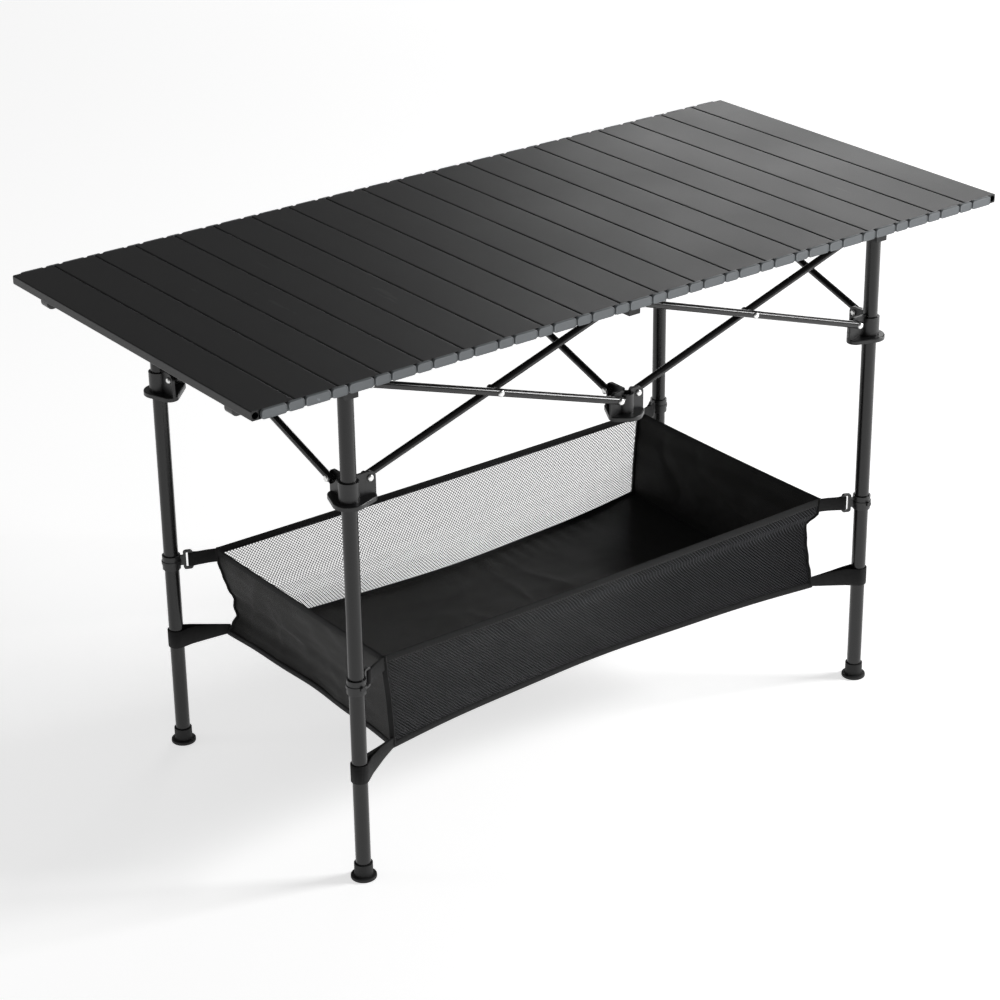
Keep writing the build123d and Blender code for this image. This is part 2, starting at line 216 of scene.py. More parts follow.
def noise_value(tree, place, scale, detail):
    """Value of a noise texture at a place."""
    return result(tree, "ShaderNodeTexNoise", {"Vector": place, "Scale": scale, "Detail": detail})


def mix_colours(tree, factor, first, second):
    """Blend of two colours."""
    return add_node(tree, "ShaderNodeMix", {0: factor, 6: first, 7: second}, data_type="RGBA").outputs[2]


def opaque(colour, scale, lift=0.0):
    """A colour made darker or lighter, with its alpha."""
    return tuple(min(1, c * scale + lift) for c in colour) + (1,)


def upwards(height):
    """Vector straight up."""
    return Vector((0, 0, height))


def make_group(name, kind, inputs, outputs):
    """Node group with named sockets. Each input is (name, socket type, default)."""
    tree = bpy.data.node_groups.new(name, kind)
    for label, socket, default in inputs:
        made = tree.interface.new_socket(label, in_out="INPUT", socket_type=f"NodeSocket{socket}")
        if default is not None:
            made.default_value = default
    for label, socket in outputs:
        tree.interface.new_socket(label, in_out="OUTPUT", socket_type=f"NodeSocket{socket}")
    start = tree.nodes.new("NodeGroupInput")
    end = tree.nodes.new("NodeGroupOutput")
    return tree, start.outputs, end.inputs


def grow(obj, tree, values):
    """Run a geometry tree on an object and keep the result as its plain mesh."""
    modifier = obj.modifiers.new(tree.name, "NODES")
    modifier.node_group = tree
    for item in tree.interface.items_tree:
        if item.item_type == "SOCKET" and item.in_out == "INPUT" and item.name in values:
            modifier[item.identifier] = values[item.name]
    keep_result(obj)


def keep_result(obj):
    """Replace an object's mesh by what its modifiers make of it."""
    bpy.context.view_layer.update()
    depsgraph = bpy.context.evaluated_depsgraph_get()
    mesh = bpy.data.meshes.new_from_object(obj.evaluated_get(depsgraph), depsgraph=depsgraph)
    obj.modifiers.clear()
    obj.data = mesh


def make_object(name, vertices, faces, uvs=None, smooth=True):
    """Mesh object from points and faces, with the UV of each point in metres."""
    mesh = bpy.data.meshes.new(name)
    mesh.from_pydata([tuple(v) for v in vertices], [], faces)
    if uvs:
        layer = mesh.uv_layers.new(name="UVMap")
        for loop in mesh.loops:
            layer.data[loop.index].uv = uvs[loop.vertex_index]
    if smooth:
        mesh.shade_smooth()
    obj = bpy.data.objects.new(name, mesh)
    bpy.context.scene.collection.objects.link(obj)
    return obj


def paint(obj, material):
    """Give an object its one material."""
    obj.data.materials.clear()
    obj.data.materials.append(material)


def wear(obj, material):
    """Give a piece its one material."""
    paint(obj, material)


def turn_outwards(obj):
    """Merge doubled points and make the faces of a closed piece point outwards."""
    work = bmesh.new()
    work.from_mesh(obj.data)
    bmesh.ops.remove_doubles(work, verts=work.verts, dist=1e-6)
    bmesh.ops.recalc_face_normals(work, faces=work.faces)
    work.to_mesh(obj.data)
    work.free()
    obj.data.shade_smooth()


# ---- Shared shader groups ----


def grain_group():
    """Fine bumps of a powder coat or moulded plastic, with a slow drift of its shade."""
    tree, given, out = make_group(
        "Coat grain",
        "ShaderNodeTree",
        [("Grain size", "Float", 0.0008), ("Drift size", "Float", 0.15)],
        [("Height", "Float"), ("Drift", "Float")],
    )
    place = add_node(tree, "ShaderNodeTexCoord").outputs["Object"]
    fine_scale = maths(tree, "DIVIDE", 1.0, given["Grain size"])
    slow_scale = maths(tree, "DIVIDE", 1.0, given["Drift size"])
    fine = noise_value(tree, place, fine_scale, 2.0)
    slow = noise_value(tree, place, slow_scale, 4.0)
    tree.links.new(fine, out["Height"])
    tree.links.new(slow, out["Drift"])
    return tree


def scuff_group():
    """Sparse thin scratches and dusty specks, as a mask."""
    tree, given, out = make_group(
        "Scuffs",
        "ShaderNodeTree",
        [("Scuff size", "Float", 0.02), ("Cover", "Float", 0.3)],
        [("Mask", "Float")],
    )
    place = add_node(tree, "ShaderNodeTexCoord").outputs["Object"]
    scale = maths(tree, "DIVIDE", 1.0, given["Scuff size"])
    stretched = result(tree, "ShaderNodeMapping", {"Vector": place, "Scale": (1.0, 0.12, 1.0)})
    lines = noise_value(tree, stretched, scale, 6.0)
    patches = noise_value(tree, place, 9.0, 3.0)
    edge = maths(tree, "SUBTRACT", 0.78, maths(tree, "MULTIPLY", given["Cover"], 0.3))
    streak = maths(tree, "GREATER_THAN", lines, edge)
    tree.links.new(maths(tree, "MULTIPLY", streak, patches), out["Mask"])
    return tree


def weave_group():
    """Plain weave on a UV map in metres: raised threads that pass over and under each other."""
    tree, given, out = make_group(
        "Plain weave",
        "ShaderNodeTree",
        [("Thread pitch", "Float", 0.0008)],
        [("Height", "Float"), ("Over", "Float"), ("Drift", "Float")],
    )
    uv = result(tree, "ShaderNodeUVMap", uv_map="UVMap")
    turns = maths(tree, "DIVIDE", 1.0, given["Thread pitch"])
    count = scaled(tree, uv, turns)
    checker = add_node(tree, "ShaderNodeTexChecker", {"Vector": count, "Scale": 1.0}).outputs["Fac"]
    parts = add_node(tree, "ShaderNodeSeparateXYZ", {0: count})
    waves = [
        maths(tree, "ABSOLUTE", maths(tree, "SINE", maths(tree, "MULTIPLY", parts.outputs[axis], pi)))
        for axis in (0, 1)
    ]
    height = result(tree, "ShaderNodeMix", {0: checker, 2: waves[0], 3: waves[1]})
    slow = noise_value(tree, uv, 14.0, 5.0)
    tree.links.new(height, out["Height"])
    tree.links.new(checker, out["Over"])
    tree.links.new(slow, out["Drift"])
    return tree


def rib_group():
    """Crosswise ribs of webbing, and a drift of its shade, on a UV map in metres."""
    tree, given, out = make_group(
        "Webbing ribs",
        "ShaderNodeTree",
        [("Rib pitch", "Float", 0.0016)],
        [("Height", "Float"), ("Drift", "Float")],
    )
    uv = result(tree, "ShaderNodeUVMap", uv_map="UVMap")
    turns = maths(tree, "DIVIDE", pi, given["Rib pitch"])
    parts = add_node(tree, "ShaderNodeSeparateXYZ", {0: uv})
    ribs = maths(tree, "ABSOLUTE", maths(tree, "SINE", maths(tree, "MULTIPLY", parts.outputs[0], turns)))
    fibres = noise_value(tree, uv, 900.0, 2.0)
    height = maths(tree, "MULTIPLY_ADD", fibres, 0.4, ribs)
    slow = noise_value(tree, uv, 25.0, 4.0)
    tree.links.new(height, out["Height"])
    tree.links.new(slow, out["Drift"])
    return tree


GROUPS = {}


def shared_group(maker):
    """The one group that a maker builds, built on its first use."""
    if maker not in GROUPS:
        GROUPS[maker] = maker()
    return GROUPS[maker]


def use_group(tree, maker, **sizes):
    """Outputs of a shared group in a material, its inputs given as words_with_underscores."""
    node = add_node(tree, "ShaderNodeGroup", node_tree=shared_group(maker))
    for label, value in sizes.items():
        node.inputs[label.replace("_", " ")].default_value = value
    return node.outputs


def new_material(name, roughness, metallic=0.0, specular=0.5):
    """Empty material with its Principled shader."""
    material = bpy.data.materials.new(name)
    material.use_nodes = True
    tree = material.node_tree
    shader = tree.nodes["Principled BSDF"]
    shader.inputs["Roughness"].default_value = roughness
    shader.inputs["Metallic"].default_value = metallic
    shader.inputs["Specular IOR Level"].default_value = specular
    return material, tree, shader


def ramp(tree, factor, low, high):
    """Value that runs from low to high as a mask runs from 0 to 1."""
    return result(tree, "ShaderNodeMapRange", {"Value": factor, "To Min": low, "To Max": high})


def shade(tree, factor, colour, spread):
    """Colour that drifts darker and lighter by a share of itself."""
    return mix_colours(tree, factor, opaque(colour, 1 - spread), opaque(colour, 1 + spread))


def bump(tree, shader, height, distance):
    """Feed a height into the shader's normal."""
    made = result(tree, "ShaderNodeBump", {"Height": height, "Distance": distance, "Strength": 1.0})
    tree.links.new(made, shader.inputs["Normal"])


def coat_material(name, colour, roughness, grain_size, grain_depth, scuffs=0.0, specular=0.5):
    """Powder coat or moulded plastic: grain, slow drift of shade and gloss, and light scuffs."""
    material, tree, shader = new_material(name, roughness, specular=specular)
    grain = use_group(tree, grain_group, Grain_size=grain_size)
    surface = shade(tree, grain["Drift"], colour, 0.22)
    rough = ramp(tree, grain["Drift"], roughness - 0.06, roughness + 0.06)
    if scuffs:
        marks = use_group(tree, scuff_group, Cover=scuffs)
        surface = mix_colours(tree, marks[0], surface, opaque(colour, 2.2, 0.02))
    tree.links.new(surface, shader.inputs["Base Color"])
    tree.links.new(rough, shader.inputs["Roughness"])
    bump(tree, shader, grain["Height"], grain_depth)
    return material


def rivet_material(colour):
    """Zinc-plated steel with fine turning marks."""
    material, tree, shader = new_material("Zinc rivet", 0.28, metallic=1.0)
    grain = use_group(tree, grain_group, Grain_size=0.0005, Drift_size=0.004)
    tree.links.new(shade(tree, grain["Drift"], colour, 0.1), shader.inputs["Base Color"])
    tree.links.new(ramp(tree, grain["Drift"], 0.2, 0.42), shader.inputs["Roughness"])
    bump(tree, shader, grain["Height"], 0.00003)
    return material


def cloth_material(colour):
    """Coated oxford cloth: a plain weave with a faint sheen."""
    material, tree, shader = new_material("Coated cloth", 0.62, specular=0.35)
    weave = use_group(tree, weave_group, Thread_pitch=0.0009)
    base = shade(tree, weave["Drift"], colour, 0.3)
    tree.links.new(mix_colours(tree, weave["Over"], base, opaque(colour, 1.35)), shader.inputs["Base Color"])
    tree.links.new(ramp(tree, weave["Drift"], 0.5, 0.72), shader.inputs["Roughness"])
    shader.inputs["Sheen Weight"].default_value = 0.04
    bump(tree, shader, weave["Height"], 0.00018)
    return material


def tape_material(name, colour, rib_pitch, roughness=0.75):
    """Ribbed webbing or binding tape."""
    material, tree, shader = new_material(name, roughness, specular=0.3)
    ribs = use_group(tree, rib_group, Rib_pitch=rib_pitch)
    tree.links.new(shade(tree, ribs["Drift"], colour, 0.3), shader.inputs["Base Color"])
    shader.inputs["Sheen Weight"].default_value = 0.06
    bump(tree, shader, ribs["Height"], 0.0003)
    return material


def strand_material(name, colour):
    """Knitted synthetic strand or sewing thread, slightly glossy."""
    material, tree, shader = new_material(name, 0.5, specular=0.5)
    grain = use_group(tree, grain_group, Grain_size=0.0006)
    tree.links.new(shade(tree, grain["Drift"], colour, 0.25), shader.inputs["Base Color"])
    bump(tree, shader, grain["Height"], 0.00005)
    return material


# ---- The basket's shape ----

# How each upright seam is drawn in between its sewn ends: share of the way down, and millimetres inwards.
SEAM_SLACK = {
    (-1, -1): ((0.16, 0), (0.5, 4), (0.8, 3), (1, 0)),
    (1, -1): ((0.15, 0), (0.3, 16), (0.5, 13), (0.72, 8), (0.88, 3), (1, 0)),
    (-1, 1): ((0.16, 0), (0.3, 4), (0.46, 9), (0.58, 16), (0.68, 14), (0.78, 17), (0.9, 8), (1, 0)),
    (1, 1): ((0.16, 0), (0.4, 8), (0.6, 11), (0.82, 5), (1, 0)),
}
LOW_CORNER_INSET = 10 * MM
LOW_CORNER_RISE = -7 * MM
LOW_EDGE_SAG = 1.5 * MM
RIM_SAG = 1.5 * MM


def rim_corner(side_x, side_y):
    """Upper corner of the basket."""
    return Vector((side_x * basket_high.x, side_y * basket_high.y, basket_high.z))


def low_corner(side_x, side_y):
    """Lower corner of the basket, where the lower strap holds it."""
    x = side_x * (basket_high.x - LOW_CORNER_INSET)
    return Vector((x, side_y * basket_high.y, basket_low.z + LOW_CORNER_RISE))


def between(first, second, t):
    """Point on the straight line between two others."""
    return first.lerp(second, t)


def rim_line(first, second):
    """Rim between two corners, nearly taut."""

    def point(t):
        return between(rim_corner(*first), rim_corner(*second), t) - upwards(RIM_SAG * 4 * t * (1 - t))

    return point


def low_line(first, second, bow):
    """Lower edge between two corners, drawn inwards and slightly down in the middle."""
    start, end = low_corner(*first), low_corner(*second)
    inwards = -((start + end) / 2)
    inwards.z = 0
    inwards.normalize()

    def point(t):
        arch = 4 * t * (1 - t)
        ripple = 1.2 * MM * sin(5 * pi * t) * arch
        return between(start, end, t) + inwards * (bow * arch + ripple) - upwards(LOW_EDGE_SAG * arch)

    return point


def seam_line(corner):
    """Upright seam at a corner, from the rim down, drawn in where the cloth is slack."""
    marks = ((0, 0), *SEAM_SLACK[corner])
    inwards = -rim_corner(*corner)
    inwards = Vector((inwards.x * 0.55, inwards.y, 0)).normalized()

    def point(t):
        slack = 0
        for (from_t, from_in), (to_t, to_in) in zip(marks, marks[1:]):
            if from_t <= t <= to_t:
                share = (t - from_t) / (to_t - from_t)
                slack = from_in + (to_in - from_in) * (3 - 2 * share) * share**2
        return between(rim_corner(*corner), low_corner(*corner), t) + inwards * slack * MM

    return point


def patch(name, top, bottom, left, right, columns, rows, lift, width, height):
    """Grid of cloth between four edge curves, lifted along its normal by a function of its two shares."""

    def surface(u, v):
        ruled = between(top(u), bottom(u), v) + between(left(v), right(v), u)
        corners = between(between(top(0), top(1), u), between(bottom(0), bottom(1), u), v)
        return ruled - corners

    vertices, uvs, faces = [], [], []
    for row in range(rows + 1):
        for column in range(columns + 1):
            u, v = column / columns, row / rows
            step = 0.01
            along = surface(min(1, u + step), v) - surface(max(0, u - step), v)
            down = surface(u, min(1, v + step)) - surface(u, max(0, v - step))
            normal = down.cross(along).normalized()
            vertices.append(surface(u, v) + normal * lift(u, v))
            uvs.append((u * width, (1 - v) * height))
    for row in range(rows):
        for column in range(columns):
            a = row * (columns + 1) + column
            b = a + columns + 1
            faces.append((a, b, b + 1, a + 1))
    return make_object(name, vertices, faces, uvs)


def soft_folds(seed, depth, along, across, slant):
    """Lift for a slack panel: slanting creases fading into broad hollows, and nothing at its edges."""

    def lift(u, v):
        edge = (sin(pi * u) * sin(pi * v)) ** 0.6 if 0 < u < 1 and 0 < v < 1 else 0
        place = Vector((u * along, v * across, seed))
        hollow = noise.fractal(place, 1.0, 2.1, 3)
        ridge = 1 - 2 * abs(noise.noise(Vector((u * along * 1.7 + v * slant, v * across * 0.8 - u * slant, seed + 9))))
        return edge * depth * (0.9 * hollow + 0.55 * ridge**3 - 0.2)

    return lift


def span_share(value, half):
    """Share of the way from one leg to the other, from 0 to 1."""
    return min(1, max(0, 0.5 + value / (2 * half)))


def hang(obj):
    """Hook a basket piece to the four collars at its rim and to three legs at its foot; it rides the fourth.

    Each point follows its nearest collars and legs by its share of the way between them, so the basket
    gathers up as the frame folds.
    """
    points = [vertex.co.copy() for vertex in obj.data.vertices]
    low_z, high_z = basket_low.z, basket_high.z
    for corner, (side_x, side_y) in CORNERS.items():
        for level, body in ((1, f"{corner}_collar"), (0, f"{corner}_leg")):
            if body == ROOT_BODY:
                continue
            group = obj.vertex_groups.new(name=body)
            for index, point in enumerate(points):
                share_x = span_share(side_x * point.x, basket_high.x)
                share_y = span_share(side_y * point.y, basket_high.y)
                share_z = min(1, max(0, (point.z - low_z) / (high_z - low_z)))
                weight = share_x * share_y * (share_z if level else 1 - share_z)
                if weight > 0:
                    group.add([index], weight, "REPLACE")
            hook = obj.modifiers.new(body, "HOOK")
            hook.object = frame["bodies"][body]
            hook.vertex_group = body
            hook.falloff_type = "NONE"
            hook.strength = 1
    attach(obj, ROOT_BODY)


def thicken(obj, thickness):
    """Give a sheet its thickness, half to each side."""
    modifier = obj.modifiers.new("Thickness", "SOLIDIFY")
    modifier.thickness = thickness
    modifier.offset = 0
    keep_result(obj)


def sweep(name, path, section, closed, up=None, heights=None):
    """Sweep a section of (outwards, up) offsets along a path, its UV in metres along and round it.

    heights gives the share of its full height that the section has at each point.
    """
    count = len(path)
    vertices, uvs, faces = [], [], []
    distance = 0.0
    for index, point in enumerate(path):
        before = path[index - 1] if closed or index else point
        after = path[(index + 1) % count] if closed or index < count - 1 else point
        tangent = (after - before).normalized()
        rise = up or upwards(1)
        out = tangent.cross(rise).normalized()
        rise = out.cross(tangent).normalized()
        if index:
            distance += (point - path[index - 1]).length
        around = 0.0
        for step, (aside, above) in enumerate(section):
            if step:
                last = section[step - 1]
                around += hypot(aside - last[0], above - last[1])
            vertices.append(point + out * aside + rise * above * (heights[index] if heights else 1))
            uvs.append((distance, around))
    size = len(section)
    for index in range(count if closed else count - 1):
        for step in range(size):
            a = index * size + step
            b = index * size + (step + 1) % size
            c = (index + 1) % count * size
            faces.append((a, b, c + (step + 1) % size, c + step))
    if not closed:
        faces.append(tuple(range(size))[::-1])
        faces.append(tuple((count - 1) * size + step for step in range(size)))
    return make_object(name, vertices, faces, uvs)


def tape_section(thickness, width):
    """Flat section with softly rounded edges."""
    half, tall = thickness / 2, width / 2
    soft = min(half * 0.9, tall * 0.3)
    one_side = [(half, -tall + soft), (half, 0), (half, tall - soft), (half - soft, tall), (soft - half, tall)]
    return one_side + [(-aside, -above) for aside, above in one_side]


def set_tight_edges(obj, angle):
    """Smooth shading, with creases where faces meet sharply."""
    obj.data.shade_smooth()
    obj.data.set_sharp_from_angle(angle=radians(angle))


def finish_tape(obj, material):
    """Close, crease and paint a swept tape."""
    turn_outwards(obj)
    set_tight_edges(obj, 50)
    wear(obj, material)


# ---- Geometry trees ----


def geometry_group(name, *sizes):
    """Geometry tree that takes a geometry and some sizes, and gives a geometry."""
    taken = [("Geometry", "Geometry", None), *sizes]
    return make_group(name, "GeometryNodeTree", taken, [("Geometry", "Geometry")])


def joined(tree, parts):
    """Several geometries as one."""
    both = add_node(tree, "GeometryNodeJoinGeometry")
    for part in parts:
        tree.links.new(part, both.inputs[0])
    return both.outputs[0]


def realised(tree, geometry):
    """Instances made into real geometry."""
    return result(tree, "GeometryNodeRealizeInstances", {0: geometry})


def hand_out(tree, geometry, material, out):
    """End a tree: give its geometry a material and pass it out."""
    painted = result(tree, "GeometryNodeSetMaterial", {"Geometry": geometry, "Material": material})
    tree.links.new(painted, out["Geometry"])
    return tree


def row_of_caps_tree(material):
    """Repeats a cap along both long edges of the top."""
    tree, given, out = geometry_group(
        "Row of caps",
        ("Count", "Int", 20),
        ("Pitch", "Float", 0.06),
        ("Half width", "Float", 0.282),
        ("Height", "Float", 0.709),
    )
    gaps = maths(tree, "SUBTRACT", given["Count"], 1.0)
    first = maths(tree, "MULTIPLY", maths(tree, "MULTIPLY", gaps, given["Pitch"]), -0.5)
    rows = []
    for side, turn in ((-1, 0.0), (1, pi)):
        across = maths(tree, "MULTIPLY", given["Half width"], float(side))
        start = result(tree, "ShaderNodeCombineXYZ", {0: first, 1: across, 2: given["Height"]})
        step = result(tree, "ShaderNodeCombineXYZ", {0: given["Pitch"]})
        line = result(tree, "GeometryNodeMeshLine", {"Count": given["Count"], "Start Location": start, "Offset": step})
        placing = {"Points": line, "Instance": given["Geometry"], "Rotation": (0.0, 0.0, turn)}
        rows.append(result(tree, "GeometryNodeInstanceOnPoints", placing))
    return hand_out(tree, realised(tree, joined(tree, rows)), material, out)


def net_tree(material):
    """Turns a panel with a 0-to-1 map into a net of slanting strands that lie on it."""
    tree, given, out = geometry_group(
        "Net strands",
        ("Width", "Float", 0.748),
        ("Height", "Float", 0.125),
        ("Cell", "Float", 0.0025),
        ("Strand", "Float", 0.0006),
    )
    lean = 1.15
    run = maths(tree, "MULTIPLY", given["Height"], lean)
    step = maths(tree, "MULTIPLY", given["Cell"], hypot(1, lean))
    span = maths(tree, "ADD", given["Width"], run)
    count = maths(tree, "DIVIDE", span, step)
    radius = maths(tree, "MULTIPLY", given["Strand"], 0.62)
    profile = result(tree, "GeometryNodeCurvePrimitiveCircle", {"Resolution": 4, "Radius": radius})
    families = []
    for side in (-1, 1):
        begin = maths(tree, "MULTIPLY", run, -1.0) if side > 0 else 0.0
        end_x = maths(tree, "MULTIPLY", run, float(side))
        foot = result(tree, "ShaderNodeCombineXYZ", {0: begin})
        offset = result(tree, "ShaderNodeCombineXYZ", {0: step})
        line = result(tree, "GeometryNodeMeshLine", {"Count": count, "Start Location": foot, "Offset": offset})
        tip = result(tree, "ShaderNodeCombineXYZ", {0: end_x, 1: given["Height"]})
        strand = result(tree, "GeometryNodeCurvePrimitiveLine", {"Start": (0.0, 0.0, 0.0), "End": tip})
        divided = result(tree, "GeometryNodeResampleCurve", {"Curve": strand, "Count": 13})
        placed = result(tree, "GeometryNodeInstanceOnPoints", {"Points": line, "Instance": divided})
        families.append(realised(tree, placed))
    spun = {"Curve": joined(tree, families), "Profile Curve": profile, "Fill Caps": True}
    tube = result(tree, "GeometryNodeCurveToMesh", spun)
    place = add_node(tree, "ShaderNodeSeparateXYZ", {0: result(tree, "GeometryNodeInputPosition")})
    share_u = maths(tree, "DIVIDE", place.outputs[0], given["Width"])
    share_v = maths(tree, "DIVIDE", place.outputs[1], given["Height"])
    inside_u = result(tree, "ShaderNodeClamp", {0: share_u, 1: 0.003, 2: 0.997})
    inside_v = result(tree, "ShaderNodeClamp", {0: share_v, 1: 0.01, 2: 0.99})
    at = result(tree, "ShaderNodeCombineXYZ", {0: inside_u, 1: inside_v})
    uv = result(tree, "GeometryNodeInputNamedAttribute", {"Name": "UVMap"}, data_type="FLOAT_VECTOR")
    sampled = []
    for field in ("GeometryNodeInputPosition", "GeometryNodeInputNormal"):
        asked = {"Mesh": given["Geometry"], "Value": result(tree, field), "UV Map": uv, "Sample UV": at}
        sampled.append(result(tree, "GeometryNodeSampleUVSurface", asked, data_type="FLOAT_VECTOR"))
    final = vector_maths(tree, "ADD", sampled[0], scaled(tree, sampled[1], place.outputs[2]))
    moved = result(tree, "GeometryNodeSetPosition", {"Geometry": tube, "Position": final})
    return hand_out(tree, moved, material, out)


def stitch_tree(material):
    """Sews evenly spaced stitches along the edges of the given mesh."""
    tree, given, out = geometry_group(
        "Stitches",
        ("Spacing", "Float", 0.0042),
        ("Length", "Float", 0.0026),
        ("Thickness", "Float", 0.0007),
    )
    line = result(tree, "GeometryNodeMeshToCurve", {0: given["Geometry"]})
    spacing = {"Curve": line, "Length": given["Spacing"]}
    dots = add_node(tree, "GeometryNodeCurveToPoints", spacing, mode="LENGTH").outputs
    bead = result(tree, "GeometryNodeMeshUVSphere", {"Segments": 6, "Rings": 4, "Radius": 0.5})
    thick = given["Thickness"]
    size = result(tree, "ShaderNodeCombineXYZ", {0: thick, 1: thick, 2: given["Length"]})
    placing = {"Points": dots["Points"], "Instance": bead, "Rotation": dots["Rotation"], "Scale": size}
    placed = result(tree, "GeometryNodeInstanceOnPoints", placing)
    return hand_out(tree, realised(tree, placed), material, out)


# ---- Operators ----


class CAMPTABLE_OT_stage(bpy.types.Operator):
    """Camera, soft studio light and a plain pale floor"""

    bl_idname = "camptable.stage"
    bl_label = "Stage"

    def execute(self, context):
        settings = context.scene.camp_table_stage
        self.make_camera(context, settings)
        self.make_lights(context, settings)
        self.make_world(context, settings)
        self.make_floor(settings)
        context.scene.view_settings.view_transform = "Standard"
        return {"FINISHED"}

    def make_camera(self, context, settings):
        data = bpy.data.cameras.new("camera")
        data.sensor_width = 36
        data.lens = settings.focal
        camera = bpy.data.objects.new("camera", data)
        context.scene.collection.objects.link(camera)
        tilt = Euler((pi / 2 - settings.elevation, 0, settings.azimuth)).to_matrix()
        camera.matrix_world = (tilt @ Euler((0, 0, settings.roll)).to_matrix()).to_4x4()
        camera.location = settings.eye
        context.scene.camera = camera

    def make_lights(self, context, settings):
        middle = Vector((0, 0, 0.45))
        for name, place, size, power in (
            ("key", Vector((3.3, -1.9, 2.1)), 1.2, settings.key_power),
            ("fill", Vector((-1.8, -3.6, 1.5)), 1.6, settings.fill_power),
            ("sheen", Vector((5.5, 4.6, 1.65)), 2.8, settings.sheen_power),
            ("edge", Vector((-3.6, 2.4, 1.7)), 1.0, settings.edge_power),
        ):
            data = bpy.data.lights.new(name, "AREA")
            data.shape = "RECTANGLE"
            data.size = size
            data.size_y = size
            data.energy = power
            light = bpy.data.objects.new(name, data)
            light.location = place
            light.rotation_euler = (middle - place).to_track_quat("-Z", "Y").to_euler()
            context.scene.collection.objects.link(light)

    def make_world(self, context, settings):
        world = bpy.data.worlds.new("room")
        world.use_nodes = True
        tree = world.node_tree
        dim = tree.nodes["Background"]
        dim.inputs["Color"].default_value = (1, 1, 1, 1)
        dim.inputs["Strength"].default_value = settings.room_light
        seen = add_node(tree, "ShaderNodeBackground", {"Color": (1, 1, 1, 1), "Strength": 1.0})
        ray = add_node(tree, "ShaderNodeLightPath").outputs["Is Camera Ray"]
        both = add_node(tree, "ShaderNodeMixShader", {0: ray, 1: dim.outputs[0], 2: seen.outputs[0]})
        tree.links.new(both.outputs[0], tree.nodes["World Output"].inputs[0])
        context.scene.world = world

    def make_floor(self, settings):
        reach = 14.0
        corners = [(-reach, -reach, 0), (reach, -reach, 0), (reach, reach, 0), (-reach, reach, 0)]
        floor = make_object("floor", corners, [(0, 1, 2, 3)])
        material, _, shader = new_material("Pale floor", 0.9, specular=0.0)
        shader.inputs["Base Color"].default_value = (0.9, 0.9, 0.9, 1)
        shader.inputs["Emission Color"].default_value = (1, 1, 1, 1)
        shader.inputs["Emission Strength"].default_value = settings.floor_glow
        floor.data.materials.append(material)


class CAMPTABLE_OT_frame_finish(bpy.types.Operator):
    """Coats, plastics and rivets of the folding frame"""

    bl_idname = "camptable.frame_finish"
    bl_label = "Frame finish"

    def execute(self, context):
        settings = context.scene.camp_table_frame
        tube = coat_material("Tube coat", settings.tube_colour, 0.24, 0.0006, 0.00003, scuffs=0.15, specular=0.5)
        plastic = coat_material("Black plastic", settings.plastic_colour, 0.36, 0.0005, 0.00004, specular=0.6)
        hub = coat_material("Hub plastic", settings.hub_colour, 0.5, 0.0005, 0.00004)
        rubber = coat_material("Rubber", settings.rubber_colour, 0.7, 0.0007, 0.00006)
        rivet = rivet_material(settings.rivet_colour)
        finishes = {
            "leg_": tube,
            "strut_": tube,
            "slider_": plastic,
            "lower_hub_": plastic,
            "net_collar_": plastic,
            "hook_lugs": plastic,
            "top_hub_": hub,
            "foot_": rubber,
            "rivets_": rivet,
        }
        for name, node in frame["nodes"].items():
            for start, material in finishes.items():
                if name.startswith(start):
                    paint(node, material)
        return {"FINISHED"}


class CAMPTABLE_OT_slats(bpy.types.Operator):
    """Powder coat of the slats"""

    bl_idname = "camptable.slats"
    bl_label = "Slats"

    def execute(self, context):
        settings = context.scene.camp_table_top
        coat = coat_material("Slat coat", settings.coat_colour, 0.44, 0.0011, 0.00006, scuffs=0.2)
        paint(frame["nodes"]["slats"], coat)
        return {"FINISHED"}


